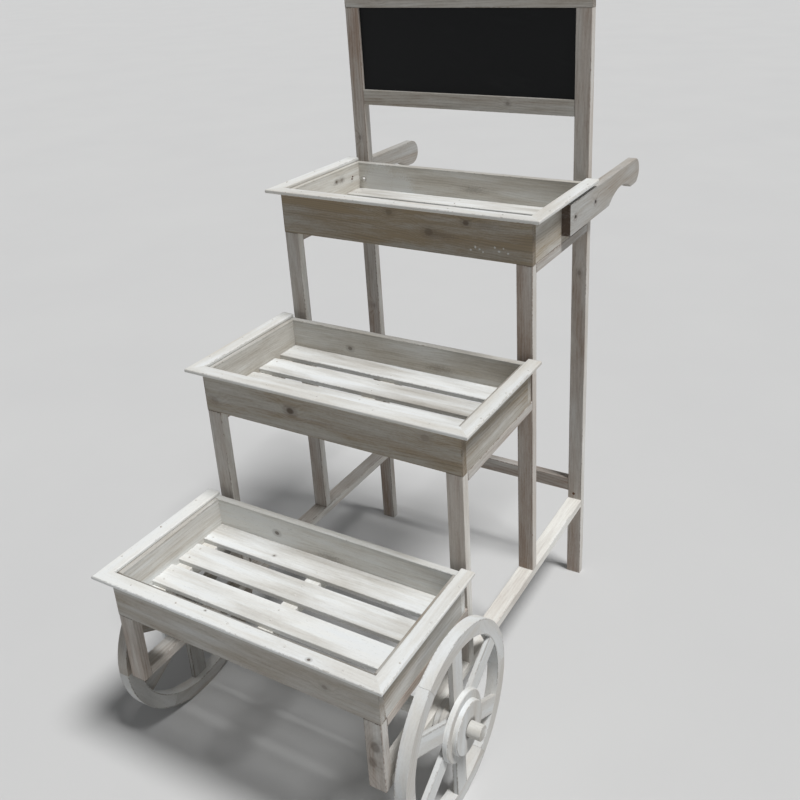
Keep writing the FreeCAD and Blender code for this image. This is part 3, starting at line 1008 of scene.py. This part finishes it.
class Facing(Enum):
    """The way that a fastener's head looks."""

    UP = (0.0, 0.0, 0.0)
    FRONT = (math.pi / 2, 0.0, 0.0)
    LEFT = (0.0, -math.pi / 2, 0.0)
    RIGHT = (0.0, math.pi / 2, 0.0)

    def at(self, place: Vector, spin: float = 0.0) -> Matrix:
        """A placement at a point, spun about the fastener's own axis."""
        turn = Matrix.Rotation(self.value[1], 4, "Y") @ Matrix.Rotation(self.value[0], 4, "X")
        return Matrix.Translation(place) @ turn @ Matrix.Rotation(spin, 4, "Z")


UP = Vector((0.0, 0.0, 1.0))


@dataclass
class Nails:
    """Wire nails washed over with the wood; the middle of a head's thickness is at the surface.

    Attributes:
        radius: The head's radius.
        proud: The upper share of the head's thickness.
        sunk: The lower share of it.
    """

    radius: float = 0.0022
    proud: float = 0.0004
    sunk: float = 0.0012

    def model(self) -> bpy.types.Object:
        """One nail's head: a low round button with a softened rim and a dimple.

        Returns:
            The head.
        """
        head = start_button(self.radius, -self.sunk, self.proud, 14)
        pick_faces(head, UP)
        for inward, rise in ((0.22, 0.5), (0.38, 0.0), (0.12, -0.45)):
            bpy.ops.mesh.inset(thickness=self.radius * inward, depth=self.proud * rise)
        return leave_edit(head, "nail")

    def drive(self, places: list[Matrix], name: str, material: bpy.types.Material) -> None:
        """Put nails at places as one piece.

        Args:
            places: Where each head goes.
            name: The piece's name.
            material: Its finish.
        """
        piece = scatter(self.model(), places, name)
        give(piece, material)
        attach(piece, "frame")
        log.info("%s: %d faces", piece.name, len(piece.data.polygons))


@dataclass
class WoodScrews:
    """The handles' screws: a flat head with a recess for the driver, a shank and a point.

    Head, shank and arm are half widths. The recess's reach is a share of the head's radius, and
    the turns are the first screw's and what the second has more.
    """

    head: float = 0.0040
    head_high: float = 0.0030
    shank: float = 0.0020
    length: float = 0.024
    recess: float = 0.0016
    arm: float = 0.0007
    reach: float = 0.58
    turns: tuple[float, float] = (0.5, 0.9)
    finish: DullSteel = field(default_factory=DullSteel)

    def model(self) -> bpy.types.Object:
        """One screw that looks up, the middle of its head's height at its own origin.

        Returns:
            The screw.
        """
        screw = start_button(self.head, -self.head_high, 0.0, 28)
        pick_faces(screw, UP)
        bpy.ops.mesh.bevel(offset=self.head * 0.12, segments=2, affect="EDGES")
        pick_faces(screw, -UP)
        bpy.ops.mesh.inset(thickness=self.head - self.shank, depth=0.0)
        point = 2 * self.shank
        extrude(-UP * (self.length - self.head_high - point))
        extrude(-UP * point)
        bpy.ops.mesh.merge(type="CENTER")
        leave_edit(screw, "screw")
        self.cut_recess(screw)
        return screw

    def cut_recess(self, screw: bpy.types.Object) -> None:
        """Sink the driver's recess into the head.

        The cutter's sides that lie in line move out together, so the recess comes out square.

        Args:
            screw: The screw, its head's face at the world's origin.
        """
        cutter = start_primitive(
            bpy.ops.mesh.primitive_cube_add, size=1.0, location=(0, 0, 0),
            scale=(2 * self.arm, 2 * self.arm, 2 * self.recess),
        )
        for way in (Vector((1, 0, 0)), Vector((-1, 0, 0)), Vector((0, 1, 0)), Vector((0, -1, 0))):
            pick_faces(cutter, way, nearer=2 * self.arm)
            extrude(way * (self.head * self.reach - self.arm))
        leave_edit(cutter, "cutter")
        bpy.ops.object.select_all(action="DESELECT")
        bpy.context.view_layer.objects.active = screw
        cut = screw.modifiers.new("recess", "BOOLEAN")
        cut.operation, cut.object, cut.solver = "DIFFERENCE", cutter, "EXACT"
        bpy.ops.object.modifier_apply(modifier=cut.name)
        bpy.data.objects.remove(cutter)

    def build(self) -> None:
        """Replace both handles' screws."""
        for side, sign in SIDES.items():
            low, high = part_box(f"handle_screws_{side}")
            face, facing = (high.x, Facing.RIGHT) if sign > 0 else (low.x, Facing.LEFT)
            height = (low.z + high.z) / 2
            places = [
                facing.at(Vector((face, y, height)), self.turns[0] + self.turns[1] * n)
                for n, y in enumerate((low.y + self.head, high.y - self.head))
            ]
            piece = scatter(self.model(), places, f"cross_head_screws_{side}")
            give(piece, self.finish.dress(f"screw_steel_{side}"))
            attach(piece, "frame")
            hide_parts(f"handle_screws_{side}")
            log.info("%s: %d faces", piece.name, len(piece.data.polygons))


@dataclass
class Bolt:
    """A domed bolt head on a washer, as on the upper tray's back board.

    Each of the dome's steps has its share of the height, and how much it draws in.
    """

    washer: float = 0.0085
    washer_thick: float = 0.0012
    head: float = 0.0052
    head_high: float = 0.0030
    sunk: float = 0.0010
    steps: tuple[tuple[float, float], ...] = ((0.45, 0.03), (0.35, 0.22), (0.20, 0.30))
    finish: DullSteel = DullSteel(bright=(0.55, 0.545, 0.53), rusted=0.30)

    def build(self, place: Vector) -> None:
        """Put a bolt head on a face that looks to the front.

        Args:
            place: A point on the face.
        """
        head = start_button(self.washer, -self.sunk, self.washer_thick, 32)
        pick_faces(head, UP)
        bpy.ops.mesh.inset(thickness=self.washer * 0.06, depth=self.washer_thick * 0.15)
        bpy.ops.mesh.inset(thickness=self.washer * 0.94 - self.head, depth=0.0)
        for share, inward in self.steps:
            extrude(UP * (self.head_high * share))
            bpy.ops.transform.resize(value=(1 - inward, 1 - inward, 1), center_override=(0, 0, 0))
        leave_edit(head, "bolt", 40.0)
        piece = scatter(head, [Facing.FRONT.at(place)], "bolt_head")
        give(piece, self.finish.dress("bolt_steel"))
        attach(piece, "frame")
        log.info("%s: %d faces", piece.name, len(piece.data.polygons))


# ---------------------------------------------------------------- sub-assemblies


@dataclass
class BattenFrame:
    """Legs, uprights, runners, rails and the stretcher.

    Each stick's wash has what is given for its node, the right one of a pair.
    """

    finish: Limewash = Limewash(
        cover=0.34, cool=0.0,
        early_wood=(0.310, 0.238, 0.192), late_wood=(0.180, 0.132, 0.106), grey_wood=(0.250, 0.222, 0.200),
    )
    # The left values here draw the left stick of a pair whiter, or darker where negative, as painted light
    # and shade, and the legs' and uprights' sides are drawn whiter as painted light.
    own: dict[str, dict[str, object]] = field(
        default_factory=lambda: {
            "leg_front_right": {
                "cover": 0.36,
                "knots": (Knot(0.3035, 0.2848, 0.0125, 0.62), Knot(0.265, 0.2765, 0.0115, 0.55)),
            },
            "leg_middle_right": {
                "cover": 0.52, "tread": 0.22, "left": -0.18, "knots": (Knot(0.420, 0.290, 0.006, 0.4),),
            },
            "leg_tall_right": {
                "cover": 0.30, "tread": 0.30, "left": 0.05, "knots": (Knot(0.52, -0.283, 0.006, 0.4),),
            },
            "upright_right": {
                "cover": 0.34, "tread": 0.30, "left": -0.08,
                "knots": (
                    Knot(1.10, -0.285, 0.006, 0.5), Knot(0.66, -0.280, 0.006, 0.4),
                    Knot(0.83, 0.283, 0.006, 0.5),
                ),
            },
            "runner_right": {"cover": 0.85, "left": -0.25},
            "lower_rail_right": {},
            "middle_rail_right": {},
            "upper_rail_right": {"cover": 0.22},
            "axle_saddle_right": {},
            "rear_stretcher": {"cover": 0.18},
        }
    )
    odd_nail: tuple[float, float] = (0.280, 0.239)
    nail_radius: float = 0.0035

    def build(self) -> None:
        """Dress every stick of the frame and drive its one odd nail."""
        for n, (name, own) in enumerate(self.own.items()):
            dress_node(replace(self.finish, **own), name, StraightStick(self.fibre_of(name)), n + 1)
        x, z = self.odd_nail
        place = Facing.FRONT.at(Vector((x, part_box("upright_right")[0].y, z)))
        Nails(self.nail_radius).drive([place], "odd_nail", DullSteel(rusted=0.7).dress("rusty_nail"))

    def fibre_of(self, name: str) -> Fibre:
        """The direction of a stick's fibres.

        Args:
            name: The stick's node.

        Returns:
            The direction.
        """
        if name == "rear_stretcher":
            return Fibre.ACROSS
        return Fibre.UPRIGHT if name.startswith(("leg", "upright")) else Fibre.FORWARD


@dataclass
class Tray:
    """One tray: boards, rim, battens, slats and the nails that hold them.

    A part is named by its node without the tray's name, the right one of a pair.

    Attributes:
        tray: The tray's name.
        brown: How brown the wood below the wash is, from 0 to 1.
        covers: How white each part is, in the order of rows. The front boards' low covers are partly a
            browner wash and partly painted shade.
        lefts: How much whiter the left one of a pair is drawn, by part: painted light and shade, such as
            the left side board's inner face drawn whiter.
        knots: The knots, by part.
        stains: The brown patches, by part.
        splashes: The white patches and spots of spilt paint, by part.
        slat_pitch: From one slat's back edge to the next one's.
        slat_wide: A slat's width.
        slat_count: How many slats there are.
        batten_pitch: From one batten to the next.
        batten_wide: A batten's width.
        batten_count: How many battens there are.
        slat_nail: How far a slat's nails are from its middle line.
        rim_nail: How far the front strip's nails are from its back edge.
        front_nails: The first nail across the front strip, their pitch, and how many there are.
        side_nails: The same along a side strip, from its front end.
        nails: The nails.
    """

    tray: str
    brown: float
    covers: tuple[float, ...]
    lefts: dict[str, float] = field(default_factory=dict)
    knots: dict[str, Knots] = field(default_factory=dict)
    stains: dict[str, Knots] = field(default_factory=dict)
    splashes: dict[str, Knots] = field(default_factory=dict)
    slat_pitch: float = 0.0755
    slat_wide: float = 0.058
    slat_count: int = 4
    batten_pitch: float = 0.2675
    batten_wide: float = 0.035
    batten_count: int = 3
    slat_nail: float = 0.0153
    rim_nail: float = 0.0145
    front_nails: tuple[float, float, int] = (-0.235, 0.118, 5)
    side_nails: tuple[float, float, int] = (0.07, 0.105, 3)
    nails: Nails = field(default_factory=Nails)

    def rows(self) -> list[tuple[str, Limewash, StraightStick]]:
        """What the tray's parts are made of, in the order of their seeds.

        Returns:
            Each part's name, its wash before what is its own, and how its wood is cut.
        """
        slats = Repeat("y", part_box(f"{self.tray}_slats")[1].y, -self.slat_pitch, self.slat_wide)
        battens = Repeat("x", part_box(f"{self.tray}_battens")[0].x, self.batten_pitch, self.batten_wide)
        # The boards' lap darkening is painted shade along their tops, under the rim; the front board's is
        # strongest.
        board = Limewash(
            ends=0.35, lap=0.22, cool=0.35 - 0.3 * self.brown,
            early_wood=(0.285 + 0.02 * self.brown, 0.243, 0.197 - 0.035 * self.brown),
            grey_wood=(0.240 + 0.01 * self.brown, 0.229 - 0.006 * self.brown, 0.207 - 0.022 * self.brown),
        )
        slat = replace(
            board, cool=0.55, grain=0.6, mottle=1.7, lap=0.0,
            early_wood=(0.300, 0.275, 0.240), late_wood=(0.190, 0.170, 0.145),
            grey_wood=(0.250, 0.242, 0.225),
        )
        rim = replace(board, cool=0.5, grain=0.5, lap=0.0)
        across, forward = StraightStick(Fibre.ACROSS), StraightStick(Fibre.FORWARD)
        return [
            ("front_board", replace(board, lap=0.55, grain=0.75), across),
            ("back_board", board, across),
            ("side_board_right", board, forward),
            ("battens", replace(board, lap=0.0), StraightStick(Fibre.FORWARD, battens)),
            ("slats", slat, StraightStick(Fibre.ACROSS, slats)),
            ("rim_front", rim, across),
            ("rim_right", rim, forward),
        ]

    def build(self) -> None:
        """Dress the tray's nodes and drive its nails."""
        seed = 40 + 20 * TRAYS.index(self.tray)
        for n, ((part, wash, shape), cover) in enumerate(zip(self.rows(), self.covers)):
            finish = replace(
                wash, cover=cover, left=self.lefts.get(part, 0.0), knots=self.knots.get(part, ()),
                stains=self.stains.get(part, ()), splashes=self.splashes.get(part, ()),
            )
            dress_node(finish, f"{self.tray}_{part}", shape, seed + n)
        material = PaintedNail().dress(f"{self.tray}_nail_wash")
        self.nails.drive(self.slat_places(), f"{self.tray}_slat_nails", material)
        self.nails.drive(self.rim_places(), f"{self.tray}_rim_nails", material)

    def slat_places(self) -> list[Matrix]:
        """Where the slats are nailed to the battens, two nails at each crossing.

        Returns:
            The nails' places.
        """
        places = []
        low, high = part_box(f"{self.tray}_slats")
        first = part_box(f"{self.tray}_battens")[0].x + self.batten_wide / 2
        for across in range(self.batten_count):
            x = first + across * self.batten_pitch
            for row in range(self.slat_count):
                back = high.y - row * self.slat_pitch
                middle = (back + max(back - self.slat_wide, low.y)) / 2
                for y in (middle - self.slat_nail, middle + self.slat_nail):
                    wander = 0.0016 * math.sin(41.0 * x + 97.0 * y)
                    places.append(Facing.UP.at(Vector((x + wander, y + wander, high.z))))
        return places

    def rim_places(self) -> list[Matrix]:
        """Where the rim is nailed down into the boards' edges.

        Returns:
            The nails' places.
        """
        places = []
        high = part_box(f"{self.tray}_rim_front")[1]
        start, pitch, count = self.front_nails
        for n in range(count):
            x = start + n * pitch + 0.006 * math.sin(5.0 * n)
            places.append(Facing.UP.at(Vector((x, high.y - self.rim_nail, high.z))))
        start, pitch, count = self.side_nails
        for side, sign in SIDES.items():
            low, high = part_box(f"{self.tray}_rim_{side}")
            x = sign * (abs(high.x + low.x) / 2 + self.rim_nail / 2)
            for n in range(count):
                y = low.y + start + n * pitch + 0.003 * math.sin(3.0 * n)
                places.append(Facing.UP.at(Vector((x, y, high.z))))
        return places


@dataclass
class Chalkboard:
    """The sign at the top: two rails and the black panel."""

    finish: Limewash = Limewash(cover=0.40, cool=0.15)
    paint: BlackboardPaint = BlackboardPaint()
    knots_across: dict[str, float] = field(
        default_factory=lambda: {"chalkboard_bottom_rail": 0.11, "chalkboard_top_rail": -0.21}
    )

    def build(self) -> None:
        """Dress the rails and the panel."""
        for n, (name, x) in enumerate(self.knots_across.items()):
            spot = Knot(x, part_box(name)[0].z + 0.02, 0.005, 0.5)
            dress_node(replace(self.finish, knots=(spot,)), name, StraightStick(Fibre.ACROSS), 130 + n)
        give(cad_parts["chalkboard_panel"], self.paint.dress("blackboard_paint"))


@dataclass
class PushHandles:
    """The two handles, their sunk screws, and the fixings that show inside the upper tray.

    The finish's knots are the shade in the screws' wells. The bolt is given across and up, and
    the points of the two screws forward and up.
    """

    finish: Limewash = Limewash(
        # The two knots are painted shade in the screws' wells, and the left handle is drawn a little
        # darker as painted shade.
        cover=0.33, cool=0.75, grain=0.7, mottle=0.7, left=-0.05, ends=1.5,
        knots=(Knot(0.2000, 1.0005, 0.006, 0.8), Knot(0.3195, 1.0005, 0.006, 0.8)),
    )
    screws: WoodScrews = field(default_factory=WoodScrews)
    bolt: Bolt = field(default_factory=Bolt)
    bolt_at: tuple[float, float] = (-0.273, 1.001)
    points: tuple[tuple[float, float], ...] = ((0.2814, 1.0142), (0.2780, 1.0089))
    tip: Nails = field(default_factory=lambda: Nails(radius=0.0016, proud=0.0022))

    def build(self) -> None:
        """Dress the handles, model their screws and the fixings inside the tray."""
        dress_node(self.finish, "handle_right", HandleCut(), 140)
        self.screws.build()
        x, z = self.bolt_at
        self.bolt.build(Vector((x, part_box("upper_back_board")[0].y, z)))
        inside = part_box("upper_side_board_left")[1].x
        places = [Facing.RIGHT.at(Vector((inside, y, z)), y * 9.0) for y, z in self.points]
        self.tip.drive(places, "screw_points", DullSteel(rusted=0.6).dress("point_steel"))


@dataclass
class Wheels:
    """Felloes, spokes and hubs of both wheels, and the axle."""

    # The left wheel is drawn darker as painted shade, and the felloes' round faces whiter as painted
    # light.
    finish: Limewash = Limewash(cover=0.64, cool=0.80, grain=0.25, mottle=0.6, left=-0.40, tread=0.22)
    spoke_grain: float = 0.5
    # The hub's discs get round sides drawn whiter as painted light, and painted shade and dirt round the
    # bore.
    hub_finish: Limewash = Limewash(cover=0.60, cool=0.7, grain=0.35, mottle=0.7, lap=0.75, tread=0.32)
    axle_finish: Limewash = Limewash(cover=0.54, cool=0.1, grain=0.6)

    def build(self) -> None:
        """Dress the wheels and the axle."""
        dress_node(self.finish, "wheel_right_felloes", FelloeCut(), 150)
        dress_node(replace(self.finish, grain=self.spoke_grain), "wheel_right_spokes", SpokeCut(), 151)
        dress_node(self.hub_finish, "wheel_right_hub", HubCut(), 152)
        dress_node(self.axle_finish, "axle", StraightStick(Fibre.ACROSS), 170)


# ---------------------------------------------------------------- camera, light and floor


@dataclass
class Studio:
    """The camera at the photograph's angle, soft light and a pale floor.

    Angles are in radians, and lens and sensor in millimetres. The sky is weak on the stand
    and white to the camera.
    """

    eye: Vector = field(default_factory=lambda: Vector((0.96695, -1.51777, 1.56071)))
    heading: float = math.radians(29.94)
    down: float = math.radians(22.875)
    roll: float = math.radians(-2.61)
    lens: float = 41.26
    sensor: float = 36.0
    shift: tuple[float, float] = (-0.0447, -0.1060)
    sun: float = 3.1
    sun_way: Triple = (-0.39, 0.04, -0.92)
    sun_wide: float = math.radians(14.0)
    sky: float = 0.17
    sky_colour: Triple = (0.96, 0.98, 1.0)
    floor_half: float = 60.0

    def place_camera(self) -> None:
        """Stand the camera where the photograph was taken."""
        level = Vector((math.cos(self.heading), math.sin(self.heading), 0.0))
        flat, drop = math.cos(self.down), math.sin(self.down)
        ahead = Vector((-level.y * flat, level.x * flat, -drop))
        above = level.cross(ahead)
        right = level * math.cos(self.roll) + above * math.sin(self.roll)
        up = above * math.cos(self.roll) - level * math.sin(self.roll)
        data = bpy.data.cameras.new("camera")
        data.lens, data.sensor_width, data.sensor_fit = self.lens, self.sensor, "HORIZONTAL"
        data.shift_x, data.shift_y = self.shift
        data.clip_start, data.clip_end = 0.05, 200.0
        camera = bpy.data.objects.new("camera", data)
        bpy.context.scene.collection.objects.link(camera)
        turn = Matrix((right, up, -ahead)).transposed().to_4x4()
        camera.matrix_world = Matrix.Translation(self.eye) @ turn
        bpy.context.scene.camera = camera

    def light(self) -> None:
        """A wide soft key from the right and an even sky, which the camera sees as white."""
        data = bpy.data.lights.new("key", "SUN")
        data.energy, data.angle = self.sun, self.sun_wide
        key = bpy.data.objects.new("key", data)
        bpy.context.scene.collection.objects.link(key)
        key.rotation_euler = Vector(self.sun_way).to_track_quat("-Z", "Y").to_euler()

        world = bpy.data.worlds.new("studio")
        world.use_nodes = True
        bpy.context.scene.world = world
        graph = Graph(world.node_tree)
        rays = graph.node("ShaderNodeLightPath").outputs
        seen = Wire(graph, rays["Is Camera Ray"])
        for kind in ("Is Glossy Ray", "Is Transmission Ray"):
            seen = seen.most(Wire(graph, rays[kind]))
        back = graph.tree.nodes["Background"]
        graph.feed(back.inputs["Strength"], seen * (1.0 - self.sky) + self.sky)
        graph.feed(back.inputs["Color"], self.sky_colour)

    def lay_floor(self) -> None:
        """A large pale floor that takes the stand's shadow."""
        bpy.ops.object.select_all(action="DESELECT")
        bpy.ops.mesh.primitive_plane_add(size=2 * self.floor_half)
        floor = bpy.context.object
        floor.name = "floor"
        recipe = Recipe("pale_floor")
        cloud = recipe.noise(recipe.place, (1.4, 1.4, 1.0), 3.0)
        give(floor, recipe.finish({
            "Base Color": recipe.mix(cloud, (0.56, 0.56, 0.56), (0.60, 0.60, 0.595)),
            "Roughness": 0.9,
            "Specular IOR Level": 0.1,
        }))

    def build(self) -> None:
        """Set up everything that isn't the stand."""
        self.place_camera()
        self.light()
        self.lay_floor()
        bpy.context.scene.view_settings.view_transform = "Standard"


def make_trays() -> tuple[Tray, Tray, Tray]:
    """The three trays, each with the knots and marks that it shows.

    Returns:
        The trays, the lowest first.
    """
    # The first cover, the front board's, is low partly as painted shade; the side board's left value draws
    # the left board's inner face whiter as painted light.
    lower = Tray(
        "lower", 0.2, (0.42, 0.82, 0.44, 0.84, 0.84, 0.95, 0.95),
        lefts={"side_board_right": 0.22, "rim_right": -0.04},
        knots={
            "front_board": (Knot(0.191, 0.393, 0.006, 0.4),),
            "back_board": (Knot(-0.132, 0.413, 0.006, 0.8),),
            "slats": (Knot(-0.112, -0.353, 0.003, 0.8),),
            "rim_front": (Knot(0.177, -0.617, 0.0035, 0.9), Knot(-0.061, -0.602, 0.002, 0.8)),
        },
        stains={"back_board": (Knot(0.004, 0.395, 0.012, 0.45),)},
    )
    middle = Tray(
        "middle", 0.9, (0.14, 0.46, 0.22, 0.72, 0.72, 0.78, 0.78),
        lefts={"side_board_right": 0.20, "rim_right": -0.03},
        knots={
            "front_board": (
                Knot(-0.0798, 0.7017, 0.009, 0.9), Knot(-0.2756, 0.6825, 0.009, 0.3),
                Knot(0.2253, 0.7167, 0.009, 0.3),
            ),
            "back_board": (Knot(-0.131, 0.704, 0.006, 0.7),),
        },
        stains={"back_board": (Knot(0.095, 0.699, 0.013, 0.45),)},
    )
    upper = Tray(
        "upper", 1.0, (0.02, 0.70, 0.34, 0.86, 0.86, 0.78, 0.78),
        lefts={"side_board_right": 0.38},
        knots={
            "front_board": (
                Knot(-0.0219, 1.0248, 0.008, 0.45), Knot(0.1568, 1.0212, 0.007, 0.8),
                Knot(0.0709, 0.9925, 0.010, 0.6),
            ),
            "side_board_right": (Knot(0.2145, 1.0172, 0.0045, 0.9), Knot(0.2374, 1.0164, 0.006, 0.5)),
        },
        stains={
            "front_board": (Knot(0.100, 0.989, 0.013, 0.55), Knot(0.200, 1.020, 0.012, 0.40)),
            "back_board": (Knot(0.027, 1.002, 0.012, 0.45),),
            "side_board_right": (Knot(0.2260, 1.0160, 0.009, 0.45),),
        },
        splashes={
            "front_board": (
                Knot(0.1665, 0.9668, 0.0026, 0.6), Knot(0.1769, 0.9738, 0.0030, 0.7),
                Knot(0.1860, 0.9705, 0.0022, 0.6), Knot(0.2197, 0.9777, 0.0026, 0.6),
                Knot(0.2385, 0.9781, 0.0022, 0.6), Knot(0.1935, 0.9655, 0.0022, 0.6),
                Knot(0.2290, 0.9700, 0.0030, 0.6), Knot(0.2480, 0.9690, 0.0024, 0.6),
            ),
            "back_board": (Knot(-0.226, 0.996, 0.055, 0.50), Knot(-0.170, 0.984, 0.045, 0.50)),
        },
    )
    return lower, middle, upper


def main() -> None:
    """Build the studio and every sub-assembly."""
    logging.basicConfig(level=logging.INFO, format="%(message)s")
    for assembly in (Studio(), BattenFrame(), *make_trays(), Chalkboard(), PushHandles(), Wheels()):
        assembly.build()


if __name__ == "__main__":
    main()
